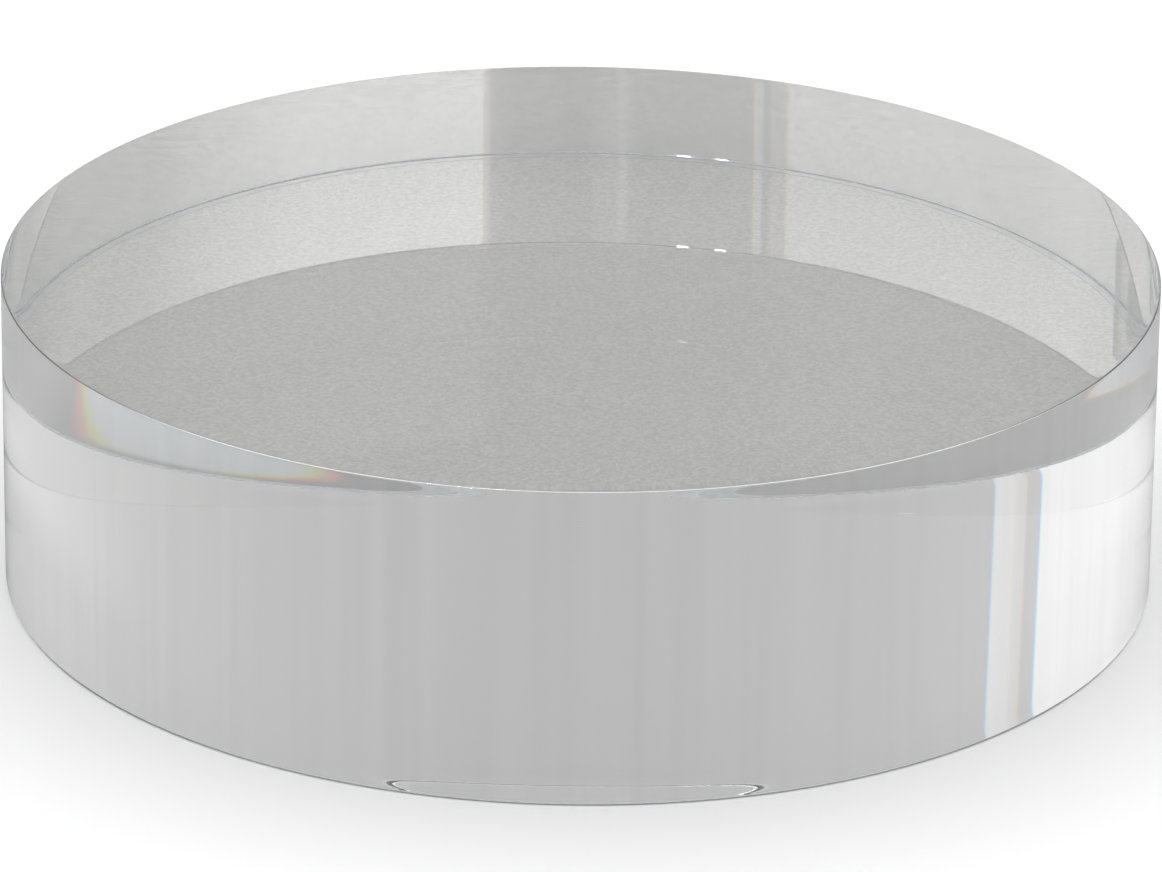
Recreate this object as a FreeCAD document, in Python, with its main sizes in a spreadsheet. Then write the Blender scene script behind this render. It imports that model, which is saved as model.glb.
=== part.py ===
"""Round vanity tray block: a thick disc of clear cast acrylic on a silver backing sheet.

The disc is one flat-topped clear solid. Under it lie, in order, a narrow ring of adhesive along
its edge, a silver backing sheet and a thin anti-slip pad. All of them are round about one vertical
axis. Inside the ring, the ring's own thickness is left as air between the block and the sheet.
Millimetres, +Z up. The origin is the centre of the circle on which the tray rests.
"""

import FreeCAD, Part
import Sketcher
import os

NUMBERS = {
    # Overall size: a 7 inch round cut from 2 inch stock. It rests at height zero.
    "resting_height": 0.0,
    "outer_diameter": 178.0,
    "overall_height": 50.0,
    # The layers below the clear block.
    "pad_thickness": 0.2,
    "sheet_thickness": 0.05,
    "bond_thickness": 0.05,
    "bond_width": 1.2,
    # Polished edges: a small round above, a broken corner below.
    "rim_radius": 0.2,
    "foot_chamfer": 0.3,
    # How far the layers are trimmed back, so that nothing sticks out under the edge.
    "sheet_trim": 0.1,
    "pad_trim": 0.5,
}

WORKED_OUT = {
    "sheet_bottom": "=pad_thickness",
    "bond_bottom": "=sheet_bottom + sheet_thickness",
    "block_bottom": "=bond_bottom + bond_thickness",
    "block_height": "=overall_height - block_bottom",
    "sheet_diameter": "=outer_diameter - 2 * (foot_chamfer + sheet_trim)",
    "bond_inner_diameter": "=sheet_diameter - 2 * bond_width",
    "pad_diameter": "=sheet_diameter - 2 * pad_trim",
}

LEVEL_TOLERANCE = 1e-6
ORIGIN_POINT = (-1, 1)
CENTRE_POINT = 3


def make_sheet(doc):
    """The sheet of driving sizes, one named cell a row, with the worked-out sizes below them."""
    sheet = doc.addObject("Spreadsheet::Sheet", "sizes")
    rows = {**NUMBERS, **WORKED_OUT}
    for row, (name, value) in enumerate(rows.items(), start=1):
        sheet.set(f"A{row}", name)
        sheet.set(f"B{row}", str(value))
        sheet.setAlias(f"B{row}", name)
    doc.recompute()
    return sheet


def make_disc(doc, name, diameters, thickness, bottom):
    """A body holding one padded circle, or the ring between two.

    The diameters, the thickness and the height of the bottom are names of cells in the sheet.
    """
    body = doc.addObject("PartDesign::Body", name)
    body.Label = name
    body.setExpression("Placement.Base.z", f"sizes.{bottom}")

    ground = next(plane for plane in body.Origin.OriginFeatures if plane.Role == "XY_Plane")
    sketch = body.newObject("Sketcher::SketchObject", f"{name}_outline")
    sketch.AttachmentSupport = [(ground, "")]
    sketch.MapMode = "FlatFace"
    for diameter in diameters:
        start = doc.getObject("sizes").get(diameter)
        outline = Part.Circle(FreeCAD.Vector(0, 0, 0), FreeCAD.Vector(0, 0, 1), start / 2)
        circle = sketch.addGeometry(outline, False)
        sketch.addConstraint(Sketcher.Constraint("Coincident", circle, CENTRE_POINT, *ORIGIN_POINT))
        size = sketch.addConstraint(Sketcher.Constraint("Diameter", circle, start))
        sketch.setExpression(f"Constraints[{size}]", f"sizes.{diameter}")

    pad = body.newObject("PartDesign::Pad", f"{name}_pad")
    pad.Profile = sketch
    pad.setExpression("Length", f"sizes.{thickness}")
    doc.recompute()
    return body, pad


def round_edge(feature, at_top):
    """The name of a disc's circular edge: the one at its top or at its bottom."""
    wanted = feature.Shape.BoundBox.ZMax if at_top else feature.Shape.BoundBox.ZMin
    for number, edge in enumerate(feature.Shape.Edges, start=1):
        circular = isinstance(edge.Curve, Part.Circle)
        if circular and abs(edge.BoundBox.ZMin - wanted) < LEVEL_TOLERANCE:
            return f"Edge{number}"
    raise RuntimeError(f"{feature.Label} has no circular edge at {wanted}")


def make_clear_block(doc):
    """The clear disc: a small polished round along the rim and a broken corner along the foot."""
    body, pad = make_disc(doc, "clear_block", ["outer_diameter"], "block_height", "block_bottom")

    rim = body.newObject("PartDesign::Fillet", "clear_block_rim")
    rim.Base = (pad, [round_edge(pad, at_top=True)])
    rim.setExpression("Radius", "sizes.rim_radius")
    doc.recompute()

    foot = body.newObject("PartDesign::Chamfer", "clear_block_foot")
    foot.Base = (rim, [round_edge(rim, at_top=False)])
    foot.setExpression("Size", "sizes.foot_chamfer")
    doc.recompute()
    return body


def make_bond_ring(doc):
    """The narrow ring of adhesive that holds the backing sheet to the block along its edge."""
    diameters = ["sheet_diameter", "bond_inner_diameter"]
    body, _ = make_disc(doc, "bond_ring", diameters, "bond_thickness", "bond_bottom")
    return body


def make_backing_sheet(doc):
    """The silver sheet that shows through the block and mirrors it."""
    body, _ = make_disc(doc, "backing_sheet", ["sheet_diameter"], "sheet_thickness", "sheet_bottom")
    return body


def make_base_pad(doc):
    """The anti-slip pad that the tray rests on; its underside is at height zero."""
    body, _ = make_disc(doc, "base_pad", ["pad_diameter"], "pad_thickness", "resting_height")
    return body


def check(doc, bodies):
    """Stops on any failed object, and on any piece that isn't one valid solid."""
    for thing in doc.Objects:
        if "Invalid" in thing.State or "Error" in thing.State:
            raise RuntimeError(f"{thing.Label} failed: {thing.State}")
    for body in bodies:
        shape = body.Shape
        if shape.isNull() or not shape.isValid() or len(shape.Solids) != 1:
            raise RuntimeError(f"{body.Label} isn't one valid solid")


def write_parts(bodies):
    """One STEP file for each piece, named after it."""
    os.makedirs("parts", exist_ok=True)
    for body in bodies:
        body.Shape.exportStep(f"parts/{body.Label}.step")
        box = body.Shape.optimalBoundingBox(False)
        print(f"{body.Label}: z {box.ZMin:.3f} to {box.ZMax:.3f}, across {box.XLength:.3f}")


def main():
    doc = FreeCAD.newDocument("vanity_tray_block")
    make_sheet(doc)
    bodies = [
        make_clear_block(doc),
        make_bond_ring(doc),
        make_backing_sheet(doc),
        make_base_pad(doc),
    ]
    doc.recompute()
    check(doc, bodies)
    write_parts(bodies)


main()
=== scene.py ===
"""The looks of the round vanity tray block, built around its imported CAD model.

The block is colourless cast acrylic on a silver backing sheet, with a film of air between them. So
nearly all that shows in it is its surroundings, bent through the wall and mirrored at its underside.
The studio is a ring of soft panels under a bright ceiling, with four narrow lamps on two stands in
front, on the left.
Metres, +Z up. The front is -Y.
"""

import math

import bpy
from mathutils import Matrix, Vector


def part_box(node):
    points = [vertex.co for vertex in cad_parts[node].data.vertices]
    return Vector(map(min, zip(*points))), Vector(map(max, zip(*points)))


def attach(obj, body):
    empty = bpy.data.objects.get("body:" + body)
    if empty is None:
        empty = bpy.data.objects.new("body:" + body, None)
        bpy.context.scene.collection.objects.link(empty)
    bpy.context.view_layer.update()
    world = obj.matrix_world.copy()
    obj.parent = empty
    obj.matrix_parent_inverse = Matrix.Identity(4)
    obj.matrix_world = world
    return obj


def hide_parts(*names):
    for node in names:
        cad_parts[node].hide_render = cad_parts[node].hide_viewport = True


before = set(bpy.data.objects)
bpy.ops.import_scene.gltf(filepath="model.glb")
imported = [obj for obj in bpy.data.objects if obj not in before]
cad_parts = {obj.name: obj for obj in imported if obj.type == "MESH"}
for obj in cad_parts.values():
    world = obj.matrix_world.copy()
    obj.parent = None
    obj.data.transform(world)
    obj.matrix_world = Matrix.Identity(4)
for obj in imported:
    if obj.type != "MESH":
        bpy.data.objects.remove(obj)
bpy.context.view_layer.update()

MM = 0.001

# The block, as the CAD has it. Its radius is the smallest of its box's half widths.
BLOCK_LOW, BLOCK_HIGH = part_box("clear_block")
TOP = BLOCK_HIGH.z
FOOT = BLOCK_LOW.z
RADIUS = min(-BLOCK_LOW.x, BLOCK_HIGH.x, -BLOCK_LOW.y, BLOCK_HIGH.y)
FOOT_CHAMFER = 0.3 * MM
RIM_RADIUS = 0.2 * MM

# Polishing takes a little more off towards each edge. These are depths, and the widths they fade over.
WALL_ROLL_DEPTH = 0.02 * MM
WALL_ROLL_WIDTH = 2.2 * MM
TOP_ROLL_DEPTH = 0.03 * MM
TOP_ROLL_WIDTH = 2.5 * MM
# The underside stays clear of the adhesive's upper face, so that no two faces lie in one plane.
FACE_GAP = 0.02 * MM

# How finely the block is divided: round the axis, then along its flat faces, the stretches where it
# rolls off, the rest of the wall, and the rim's rounding.
SECTORS = 720
FLAT_STEPS = 6
ROLL_STEPS = 16
WALL_STEPS = 12
RIM_STEPS = 6

# The block's finishes, in the order of its material slots. The buffed one is the wall's.
POLISHED, SATIN_FOOT, BUFFED, SATIN_RIM = range(4)

ACRYLIC_IOR = 1.49


# ---------------------------------------------------------------- node helpers


def new_material(name):
    """A material with an empty node tree, its output and its nodes and links."""
    material = bpy.data.materials.new(name)
    material.use_nodes = True
    nodes = material.node_tree.nodes
    nodes.clear()
    output = nodes.new("ShaderNodeOutputMaterial")
    return material, nodes, material.node_tree.links, output


def scaled_position(nodes, links, scale):
    """The point being shaded, in the object's own metres, times a scale for each axis."""
    place = nodes.new("ShaderNodeTexCoord")
    mapping = nodes.new("ShaderNodeMapping")
    mapping.inputs["Scale"].default_value = scale
    links.new(place.outputs["Object"], mapping.inputs["Vector"])
    return mapping.outputs["Vector"]


def noise(nodes, links, scale, detail=3.0):
    """A noise texture over the object's own space. The scale is in cells per metre, for each axis."""
    texture = nodes.new("ShaderNodeTexNoise")
    texture.inputs["Scale"].default_value = 1.0
    texture.inputs["Detail"].default_value = detail
    links.new(scaled_position(nodes, links, scale), texture.inputs["Vector"])
    return texture.outputs["Fac"]


def ramp(nodes, links, source, stops):
    """Maps a value to a colour by (position, colour) stops."""
    node = nodes.new("ShaderNodeValToRGB")
    elements = node.color_ramp.elements
    while len(elements) < len(stops):
        elements.new(0.5)
    for element, (position, colour) in zip(elements, stops):
        element.position = position
        element.color = (*colour, 1.0)
    links.new(source, node.inputs["Fac"])
    return node.outputs["Color"]


def spread(nodes, links, source, low, high):
    """Maps 0..1 to low..high."""
    node = nodes.new("ShaderNodeMapRange")
    node.inputs["To Min"].default_value = low
    node.inputs["To Max"].default_value = high
    links.new(source, node.inputs["Value"])
    return node.outputs["Result"]


def bump(nodes, links, height, distance):
    """A normal raised by a height map, by the distance in metres where the map is 1."""
    node = nodes.new("ShaderNodeBump")
    node.inputs["Strength"].default_value = 1.0
    node.inputs["Distance"].default_value = distance
    links.new(height, node.inputs["Height"])
    return node.outputs["Normal"]


def principled(nodes, links, output, **values):
    """A Principled shader wired to the output, with the given values on its own sockets."""
    shader = nodes.new("ShaderNodeBsdfPrincipled")
    for name, value in values.items():
        shader.inputs[name.replace("_", " ")].default_value = value
    links.new(shader.outputs["BSDF"], output.inputs["Surface"])
    return shader


# ---------------------------------------------------------------- materials


def polished_acrylic(name, marks_scale, deepest):
    """Clear acrylic. The marks that polishing left on it take a little light from what is seen through."""
    material, nodes, links, output = new_material(name)
    shader = principled(nodes, links, output, Transmission_Weight=1.0, IOR=ACRYLIC_IOR, Roughness=0.0)
    marks = noise(nodes, links, marks_scale, detail=2.0)
    tint = ramp(nodes, links, marks, [(0.3, (deepest, deepest, deepest)), (0.7, (1.0, 1.0, 1.0))])
    links.new(tint, shader.inputs["Base Color"])
    return material


def clear_acrylic():
    """The flat faces and the lower part of the rim's rounding, polished evenly."""
    return polished_acrylic("clear_acrylic", marks_scale=(40, 40, 40), deepest=0.985)


def buffed_acrylic():
    """The wall, which was turned and then buffed up and down, so that it has fine upright streaks."""
    return polished_acrylic("buffed_acrylic", marks_scale=(550, 550, 8), deepest=0.92)


def satin_acrylic(name, darkest, palest):
    """The same acrylic where an edge was broken and no polish reached: milky, with fine scuffs."""
    material, nodes, links, output = new_material(name)
    shader = principled(nodes, links, output, Transmission_Weight=0.3, IOR=ACRYLIC_IOR)
    scuffs = noise(nodes, links, (1500, 1500, 1500))
    links.new(ramp(nodes, links, scuffs, [(0.3, darkest), (0.7, palest)]), shader.inputs["Base Color"])
    links.new(spread(nodes, links, scuffs, 0.4, 0.6), shader.inputs["Roughness"])
    return material


def satin_foot():
    """The broken corner along the foot, faintly blue."""
    return satin_acrylic("satin_foot", darkest=(0.73, 0.77, 0.80), palest=(0.82, 0.85, 0.88))


def satin_rim():
    """The upper part of the rim's rounding. Its grey, far darker than the foot's, is painted shade on the
    same acrylic.
    """
    return satin_acrylic("satin_rim", darkest=(0.28, 0.29, 0.30), palest=(0.36, 0.37, 0.38))


def silver_sheet():
    """Silver-grey sheet: half mirror, half matte, with a fine even grain."""
    material, nodes, links, output = new_material("silver_sheet")
    shader = principled(nodes, links, output, Metallic=0.52, Roughness=0.02)
    grain = noise(nodes, links, (1700, 1700, 1700), detail=1.0)
    colour = ramp(nodes, links, grain, [(0.3, (0.68, 0.68, 0.665)), (0.7, (0.87, 0.87, 0.85))])
    links.new(colour, shader.inputs["Base Color"])
    return material


def clear_adhesive():
    """A film of clear adhesive, too thin to hide the silver below it, and uneven in thickness."""
    material, nodes, links, output = new_material("clear_adhesive")
    shader = principled(nodes, links, output, Metallic=0.5)
    cloud = noise(nodes, links, (260, 260, 260), detail=4.0)
    tint = ramp(nodes, links, cloud, [(0.35, (0.69, 0.70, 0.70)), (0.65, (0.78, 0.79, 0.79))])
    links.new(tint, shader.inputs["Base Color"])
    links.new(spread(nodes, links, cloud, 0.05, 0.2), shader.inputs["Roughness"])
    return material


def anti_slip_pad():
    """Soft milky silicone with a fine leathery grain."""
    material, nodes, links, output = new_material("anti_slip_pad")
    shader = principled(nodes, links, output, Roughness=0.7)
    grain = noise(nodes, links, (900, 900, 900), detail=4.0)
    colour = ramp(nodes, links, grain, [(0.3, (0.60, 0.62, 0.63)), (0.7, (0.78, 0.79, 0.80))])
    links.new(colour, shader.inputs["Base Color"])
    links.new(bump(nodes, links, grain, 0.05 * MM), shader.inputs["Normal"])
    return material


# ---------------------------------------------------------------- shapes


def fade(distance, width):
    """1 at distance 0, falling smoothly to 0 at width."""
    return max(0.0, 1.0 - distance / width) ** 3


def wall_radius(z):
    """The wall's radius at a height, with the roll-off towards both edges."""
    foot = fade(z - FOOT - FOOT_CHAMFER, WALL_ROLL_WIDTH)
    rim = fade(TOP - RIM_RADIUS - z, WALL_ROLL_WIDTH)
    return RADIUS - WALL_ROLL_DEPTH * (foot + rim)


def top_height(r):
    """The top face's height at a radius, with the roll-off towards the rim."""
    return TOP - TOP_ROLL_DEPTH * fade(RADIUS - RIM_RADIUS - r, TOP_ROLL_WIDTH)


def steps(start, end, count):
    """count + 1 even steps from start to end, both ends included."""
    return [start + (end - start) * i / count for i in range(count + 1)]


def block_section():
    """The block's half section from near the middle of its underside to near the middle of its top.

    Returns stretches, each a finish and its (radius, height) points. A finish covers the bands that end at
    its stretch's points.
    """
    underside = [(r, FOOT + FACE_GAP) for r in steps(0, RADIUS - FOOT_CHAMFER, FLAT_STEPS)[1:]]

    lowest = FOOT + FOOT_CHAMFER
    highest = TOP - RIM_RADIUS
    heights = steps(lowest, lowest + WALL_ROLL_WIDTH, ROLL_STEPS)
    heights += steps(lowest + WALL_ROLL_WIDTH, highest - WALL_ROLL_WIDTH, WALL_STEPS)[1:-1]
    heights += steps(highest - WALL_ROLL_WIDTH, highest, ROLL_STEPS)
    wall = [(wall_radius(z), z) for z in heights]

    wall_end_radius, wall_end_height = wall[-1]
    inner = wall_end_radius - RIM_RADIUS
    climb = top_height(inner) - wall_end_height
    turns = steps(0, math.pi / 2, RIM_STEPS)[1:]
    rim = [(inner + RIM_RADIUS * math.cos(a), wall_end_height + climb * math.sin(a)) for a in turns]
    half = RIM_STEPS // 2

    top = [(r, top_height(r)) for r in steps(inner, inner - TOP_ROLL_WIDTH, ROLL_STEPS)[1:]]
    top += [(r, TOP) for r in steps(inner - TOP_ROLL_WIDTH, 0, FLAT_STEPS)[1:-1]]
    lower = [(POLISHED, underside), (SATIN_FOOT, wall[:1]), (BUFFED, wall[1:])]
    return lower + [(POLISHED, rim[:half]), (SATIN_RIM, rim[half:]), (POLISHED, top)]


def turned(name, points, bottom, top):
    """A closed solid turned about the axis from its half section, with a point on the axis at each end.

    Returns the piece and, for each of its faces, the band of the section that it lies in.
    """
    count = len(points)
    vertices = [(0.0, 0.0, bottom), (0.0, 0.0, top)]
    for sector in range(SECTORS):
        turn = 2 * math.pi * sector / SECTORS
        vertices += [(r * math.cos(turn), r * math.sin(turn), z) for r, z in points]

    def at(sector, point):
        return 2 + (sector % SECTORS) * count + point

    faces = []
    bands = []
    for sector in range(SECTORS):
        following = sector + 1
        faces.append((0, at(following, 0), at(sector, 0)))
        for point in range(count - 1):
            above = point + 1
            faces.append((at(sector, point), at(following, point), at(following, above), at(sector, above)))
        faces.append((1, at(sector, count - 1), at(following, count - 1)))
        bands += range(count + 1)

    mesh = bpy.data.meshes.new(name)
    mesh.from_pydata(vertices, [], faces)
    mesh.polygons.foreach_set("use_smooth", [True] * len(faces))
    piece = bpy.data.objects.new(name, mesh)
    bpy.context.scene.collection.objects.link(piece)
    return piece, bands


def sharpen(mesh, count, corners):
    """Marks the rings of edges at the given points of the section as sharp."""
    rings = {2 + sector * count + corner: corner for sector in range(SECTORS) for corner in corners}
    sharp = mesh.attributes.new("sharp_edge", "BOOLEAN", "EDGE")
    for edge in mesh.edges:
        a, b = edge.vertices
        sharp.data[edge.index].value = a in rings and b in rings and rings[a] == rings[b]


def make_block():
    """The clear block, with the roll-off that polishing gives its edges.

    The last band, which closes the top round the axis, ends at no point of the section: it is polished.
    The two corners of the foot are the block's only sharp edges.
    """
    section = block_section()
    points = [point for _, stretch in section for point in stretch]
    finishes = [finish for finish, stretch in section for _ in stretch] + [POLISHED]
    underside_end = len(section[0][1]) - 1

    piece, bands = turned("clear_block_body", points, FOOT + FACE_GAP, TOP)
    sharpen(piece.data, len(points), (underside_end, underside_end + 1))
    for material in (clear_acrylic(), satin_foot(), buffed_acrylic(), satin_rim()):
        piece.data.materials.append(material)
    piece.data.polygons.foreach_set("material_index", [finishes[band] for band in bands])
    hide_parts("clear_block")
    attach(piece, "root")
    return piece


def dress(node, material):
    """Gives a CAD node that keeps its shape its finished material."""
    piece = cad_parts[node]
    piece.data.materials.clear()
    piece.data.materials.append(material)


# ---------------------------------------------------------------- studio

# The panels' lower and upper edges, each with the stretch over which it fades, and what is beyond them.
PANEL_FOOT = (math.radians(8), math.radians(17))
PANEL_HEAD = (math.radians(33), math.radians(39))
LOWER_GREY = 0.58
CEILING = 1.38

# Two lamp stands in front, each with a low and a high narrow lamp. Azimuths are in degrees and heights
# are sines. A width is a half width and its soft border. A height is its middle, half width and border.
LAMP_AZIMUTHS = (-159.7, -152.0)
LAMP_WIDTH = (0.8, 0.5)
LAMP_HEIGHTS = ((0.208, 0.03, 0.015), (0.78, 0.10, 0.02))
LAMP_LEVEL = 40.0

# The panels' brightness by azimuth in degrees: 0 is the back, negative the left and 180 the front.
# Between two rows it changes evenly, and two rows at one azimuth are a panel's edge, this wide.
EDGE_DEGREES = 0.1
PANELS = [
    # the dim front, with a faint upright strip in it
    (-180, 0.51),
    (-178.2, 0.51),
    (-178.2, 0.56),
    (-173, 0.58),
    (-172, 0.66),
    (-171, 0.62),
    (-170.4, 0.56),
    (-168, 0.53),
    (-144.6, 0.56),
    # a narrow strip, a gap, and a paler strip
    (-144.6, 0.74),
    (-142.6, 0.70),
    (-142.6, 0.55),
    (-141, 0.56),
    (-141, 0.65),
    (-137.9, 0.66),
    # the wide soft panel on the left
    (-136.9, 0.88),
    (-85, 0.92),
    (-60, 0.98),
    (-42, 0.91),
    # its dark post, and a strip beyond it
    (-42, 0.58),
    (-39.5, 0.57),
    (-39.5, 0.67),
    (-38, 0.69),
    (-37.5, 0.75),
    (-34.7, 0.75),
    # the dim back
    (-34.7, 0.545),
    (-20, 0.50),
    (0, 0.47),
    (18, 0.495),
    (36, 0.555),
    (54, 0.64),
    (72, 0.65),
    # the wide soft panel on the right, and its stepped edge
    (84, 0.72),
    (96, 0.85),
    (114, 0.97),
    (120, 1.03),
    (159.6, 1.07),
    (159.6, 0.86),
    (161, 0.74),
    (161, 0.62),
    (166, 0.55),
    (180, 0.51),
]

# Acrylic bends blue more than red, so red, green and blue see the panels at slightly different azimuths.
COLOUR_SHIFTS = (0.005, 0.0, -0.005)

# What the block sees of the floor, with painted shade: paler in front, greyer behind, and in a painted
# shade of its own close by. The painted shade is deeper on the left, and there is none in front.
FLOOR_PALE = 0.86
FLOOR_BEHIND = 0.44
FLOOR_PAINTED_SHADE = (0.38, 0.62)
LEFT_TO_RIGHT = (-0.3 * RADIUS, 1.1 * RADIUS)
BEHIND = (0.3 * RADIUS, 0.9 * RADIUS)
IN_FRONT = (-0.9 * RADIUS, -0.5 * RADIUS)
SHADE = (1.15 * RADIUS, 1.45 * RADIUS)

# Painted light: a pale patch painted on the floor close behind the block's left half, where the block
# would focus light. It fills the floor beyond a slanting line, and its edge there is coloured. Near the
# block, and to the left and right, it fades.
FOCUS_ACROSS = (-0.654, 0.756, 0.0)
FOCUS_START = 0.868 * RADIUS
FOCUS_BORDER = 0.010 * RADIUS
FOCUS_SPREAD = (-0.008 * RADIUS, 0.0, 0.007 * RADIUS)
FOCUS_NEAR = (1.010 * RADIUS, 1.034 * RADIUS)
FOCUS_LEFT = (-0.35 * RADIUS, -0.25 * RADIUS)
FOCUS_RIGHT = (0.02 * RADIUS, -0.02 * RADIUS)
PAINTED_FOCUS_LIGHT = (0.165, 0.185, 0.195)

# How white the floor is to the eye: a little less so close to the block, where its shade is painted on.
FLOOR_SEEN = 0.965
FLOOR_SEEN_PAINTED_SHADE = 0.90
CLOSE = (0.95 * RADIUS, 1.7 * RADIUS)
FLOOR_HALF_WIDTH = 6.0

# The camera: its direction and distance from the block's middle, its lens, and where it aims, a little to
# the right of the middle and below it. The roll is in radians.
CAMERA_ELEVATION = math.radians(22.5)
CAMERA_DISTANCE = 14.51 * RADIUS
CAMERA_ROLL = 0.0118
LENS_MM = 258.4
SENSOR_WIDTH_MM = 36.0
AIM_RIGHT = 0.3 * MM
AIM_BELOW = 3.4 * MM
NEAREST_SHOWN = 0.05
FARTHEST_SHOWN = 50.0


def math_node(nodes, links, operation, *sources):
    """A Math node fed by sockets or plain numbers."""
    node = nodes.new("ShaderNodeMath")
    node.operation = operation
    for socket, source in zip(node.inputs, sources):
        if isinstance(source, (int, float)):
            socket.default_value = source
        else:
            links.new(source, socket)
    return node.outputs["Value"]


def smooth_step(nodes, links, source, start, end):
    """0 at start, 1 at end, and smooth between."""
    node = nodes.new("ShaderNodeMapRange")
    node.interpolation_type = "SMOOTHSTEP"
    node.inputs["From Min"].default_value = start
    node.inputs["From Max"].default_value = end
    links.new(source, node.inputs["Value"])
    return node.outputs["Result"]


def blend(nodes, links, share, first, second):
    """Mixes two colours, each a socket or a level of grey, by a share from 0 to 1."""
    node = nodes.new("ShaderNodeMix")
    node.data_type = "RGBA"
    links.new(share, node.inputs["Factor"])
    for socket, source in ((node.inputs["A"], first), (node.inputs["B"], second)):
        if isinstance(source, float):
            socket.default_value = (source, source, source, 1.0)
        else:
            links.new(source, socket)
    return node.outputs["Result"]


def vector_math(nodes, links, operation, *sources):
    """A Vector Math node fed by sockets or plain vectors."""
    node = nodes.new("ShaderNodeVectorMath")
    node.operation = operation
    for socket, source in zip(node.inputs, sources):
        if isinstance(source, tuple):
            socket.default_value = source
        else:
            links.new(source, socket)
    return node.outputs


def separated(nodes, links, vector):
    """A vector's three parts."""
    node = nodes.new("ShaderNodeSeparateXYZ")
    links.new(vector, node.inputs["Vector"])
    return node.outputs


def combined(nodes, links, parts):
    """A vector made of three sockets."""
    node = nodes.new("ShaderNodeCombineXYZ")
    for source, socket in zip(parts, node.inputs):
        links.new(source, socket)
    return node.outputs["Vector"]


def rise(nodes, links, source, start, end, height):
    """0 up to start and height from end on, straight between, for each part of a vector."""
    node = nodes.new("ShaderNodeMapRange")
    node.data_type = "FLOAT_VECTOR"
    sockets = {socket.identifier: socket for socket in node.inputs}
    links.new(source, sockets["Vector"])
    sockets["From_Min_FLOAT3"].default_value = (start, start, start)
    sockets["From_Max_FLOAT3"].default_value = (end, end, end)
    sockets["To_Min_FLOAT3"].default_value = (0.0, 0.0, 0.0)
    sockets["To_Max_FLOAT3"].default_value = (height, height, height)
    return node.outputs["Vector"]


def within(nodes, links, source, middle, half_width, border):
    """1 within the half width of the middle, falling to 0 over the border."""
    offset = math_node(nodes, links, "ABSOLUTE", math_node(nodes, links, "SUBTRACT", source, middle))
    return smooth_step(nodes, links, offset, half_width + border, half_width)


def panel_light(nodes, links, azimuths):
    """The panels' brightness at the azimuths that red, green and blue see."""
    first = PANELS[0][1]
    light = (first, first, first)
    for (start, before), (end, after) in zip(PANELS, PANELS[1:]):
        if after != before:
            step = rise(nodes, links, azimuths, start, max(end, start + EDGE_DEGREES), after - before)
            light = vector_math(nodes, links, "ADD", step, light)["Vector"]
    return light


def lamp_light(nodes, links, azimuth, height):
    """How far a direction is inside any of the lamps, from 0 to 1."""
    levels = [within(nodes, links, height, *level) for level in LAMP_HEIGHTS]
    spans = [within(nodes, links, azimuth, middle, *LAMP_WIDTH) for middle in LAMP_AZIMUTHS]
    anywhere = [math_node(nodes, links, "ADD", *shares) for shares in (levels, spans)]
    return math_node(nodes, links, "MULTIPLY", *anywhere)


def azimuth_seen(nodes, links, x, y, shift):
    """A direction's azimuth in degrees, as one colour sees it."""
    angle = math_node(nodes, links, "ARCTAN2", x, math_node(nodes, links, "ADD", y, shift))
    return math_node(nodes, links, "DEGREES", angle)


def make_world():
    """Panels all round, grey below them and the ceiling above, and the lamps. Seen directly it is white."""
    world = bpy.data.worlds.new("studio")
    bpy.context.scene.world = world
    world.use_nodes = True
    nodes = world.node_tree.nodes
    links = world.node_tree.links
    nodes.clear()
    output = nodes.new("ShaderNodeOutputWorld")

    x, y, z = separated(nodes, links, nodes.new("ShaderNodeTexCoord").outputs["Generated"])
    azimuths = [azimuth_seen(nodes, links, x, y, shift) for shift in COLOUR_SHIFTS]

    panels = panel_light(nodes, links, combined(nodes, links, azimuths))
    over_foot = smooth_step(nodes, links, z, *map(math.sin, PANEL_FOOT))
    over_head = smooth_step(nodes, links, z, *map(math.sin, PANEL_HEAD))
    light = blend(nodes, links, over_foot, LOWER_GREY, panels)
    light = blend(nodes, links, over_head, light, CEILING)

    # The lamps only sparkle on polished surfaces: they are too small to light matte ones without specks.
    path = nodes.new("ShaderNodeLightPath")
    mirrored = path.outputs["Is Glossy Ray"]
    matte_bounces = path.outputs["Diffuse Depth"]
    only_mirrored = math_node(nodes, links, "GREATER_THAN", mirrored, matte_bounces)
    inside_lamps = lamp_light(nodes, links, azimuths[-1], z)
    lamps = math_node(nodes, links, "MULTIPLY", only_mirrored, inside_lamps)
    light = blend(nodes, links, lamps, light, LAMP_LEVEL)

    background = nodes.new("ShaderNodeBackground")
    links.new(blend(nodes, links, path.outputs["Is Camera Ray"], light, 1.0), background.inputs["Color"])
    links.new(background.outputs["Background"], output.inputs["Surface"])


def painted_focused_light(nodes, links, place, x, distance):
    """The painted focused light on the floor: how far a place is inside it, for red, green and blue apart.
    """
    whole = smooth_step(nodes, links, distance, *FOCUS_NEAR)
    for end in (FOCUS_LEFT, FOCUS_RIGHT):
        whole = math_node(nodes, links, "MULTIPLY", whole, smooth_step(nodes, links, x, *end))
    across = vector_math(nodes, links, "DOT_PRODUCT", place, FOCUS_ACROSS)["Value"]
    colours = []
    for shift in FOCUS_SPREAD:
        start = FOCUS_START + shift
        beyond = smooth_step(nodes, links, across, start, start + FOCUS_BORDER)
        colours.append(math_node(nodes, links, "MULTIPLY", beyond, whole))
    return combined(nodes, links, colours)


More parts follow.
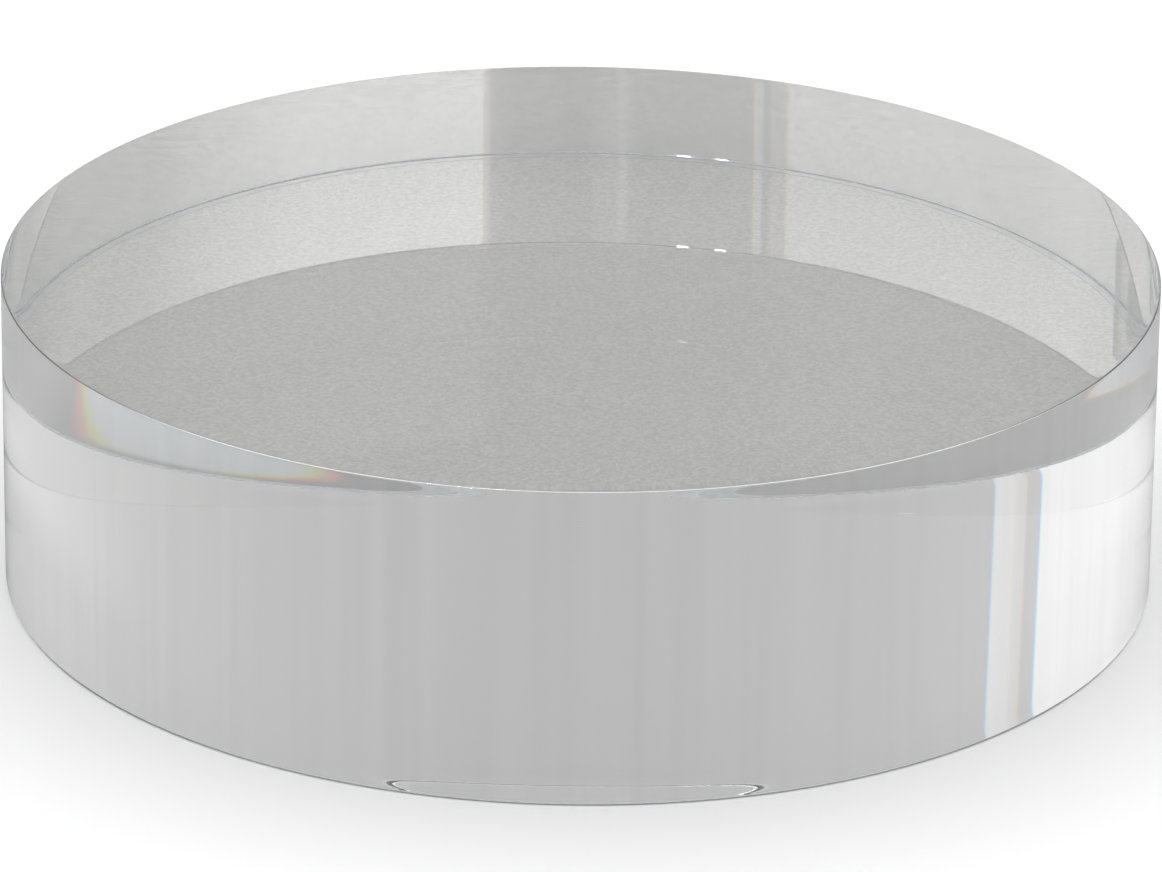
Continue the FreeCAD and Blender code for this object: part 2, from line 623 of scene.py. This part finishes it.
def floor_paper():
    """Plain matte white paper, with painted shade and light. The block sees it in darker tones than the
    camera does.
    """
    material, nodes, links, output = new_material("floor_paper")
    shader = principled(nodes, links, output, Roughness=1.0, Specular_IOR_Level=0.0)
    place = nodes.new("ShaderNodeTexCoord").outputs["Object"]
    x, y, _ = separated(nodes, links, place)
    distance = vector_math(nodes, links, "LENGTH", place)["Value"]

    # Close to the block: its painted shade and the painted light that it focuses, and neither in front.
    shade = blend(nodes, links, smooth_step(nodes, links, x, *LEFT_TO_RIGHT), *FLOOR_PAINTED_SHADE)
    focus = painted_focused_light(nodes, links, place, x, distance)
    close = vector_math(nodes, links, "MULTIPLY_ADD", focus, PAINTED_FOCUS_LIGHT, shade)["Vector"]
    close = blend(nodes, links, smooth_step(nodes, links, y, *IN_FRONT), FLOOR_PALE, close)

    # Away from it, and then both together, and last the floor as the eye has it, with a painted shade near
    # the block.
    away = blend(nodes, links, smooth_step(nodes, links, y, *BEHIND), FLOOR_PALE, FLOOR_BEHIND)
    tone = blend(nodes, links, smooth_step(nodes, links, distance, *SHADE), close, away)
    seen = blend(nodes, links, smooth_step(nodes, links, distance, *CLOSE), FLOOR_SEEN_PAINTED_SHADE, FLOOR_SEEN)
    path = nodes.new("ShaderNodeLightPath")
    tone = blend(nodes, links, path.outputs["Is Camera Ray"], tone, seen)
    links.new(tone, shader.inputs["Base Color"])
    return material


def make_floor():
    """A wide plain floor at height zero."""
    half = FLOOR_HALF_WIDTH
    mesh = bpy.data.meshes.new("floor")
    corners = [(-half, -half, 0), (half, -half, 0), (half, half, 0), (-half, half, 0)]
    mesh.from_pydata(corners, [], [(0, 1, 2, 3)])
    mesh.materials.append(floor_paper())
    floor = bpy.data.objects.new("floor", mesh)
    bpy.context.scene.collection.objects.link(floor)


def make_camera():
    """A long lens from the front, looking down on the block."""
    middle = Vector((0.0, 0.0, TOP / 2))
    target = middle + Vector((AIM_RIGHT, 0.0, -AIM_BELOW))
    upward = Vector((0.0, -math.cos(CAMERA_ELEVATION), math.sin(CAMERA_ELEVATION)))
    eye = middle + CAMERA_DISTANCE * upward
    camera_data = bpy.data.cameras.new("camera")
    camera_data.lens = LENS_MM
    camera_data.sensor_width = SENSOR_WIDTH_MM
    camera_data.clip_start = NEAREST_SHOWN
    camera_data.clip_end = FARTHEST_SHOWN
    camera = bpy.data.objects.new("camera", camera_data)
    bpy.context.scene.collection.objects.link(camera)
    aim = (target - eye).to_track_quat("-Z", "Y").to_matrix().to_4x4()
    camera.matrix_world = Matrix.Translation(eye) @ aim @ Matrix.Rotation(CAMERA_ROLL, 4, "Z")
    bpy.context.scene.camera = camera


def set_light_paths():
    """Enough bounces for light to find its way out of the block, and whites shown as they are."""
    scene = bpy.context.scene
    scene.cycles.max_bounces = 24
    scene.cycles.transmission_bounces = 24
    scene.cycles.glossy_bounces = 16
    scene.view_settings.view_transform = "Standard"


make_block()
dress("bond_ring", clear_adhesive())
dress("backing_sheet", silver_sheet())
dress("base_pad", anti_slip_pad())
make_floor()
make_world()
make_camera()
set_light_paths()
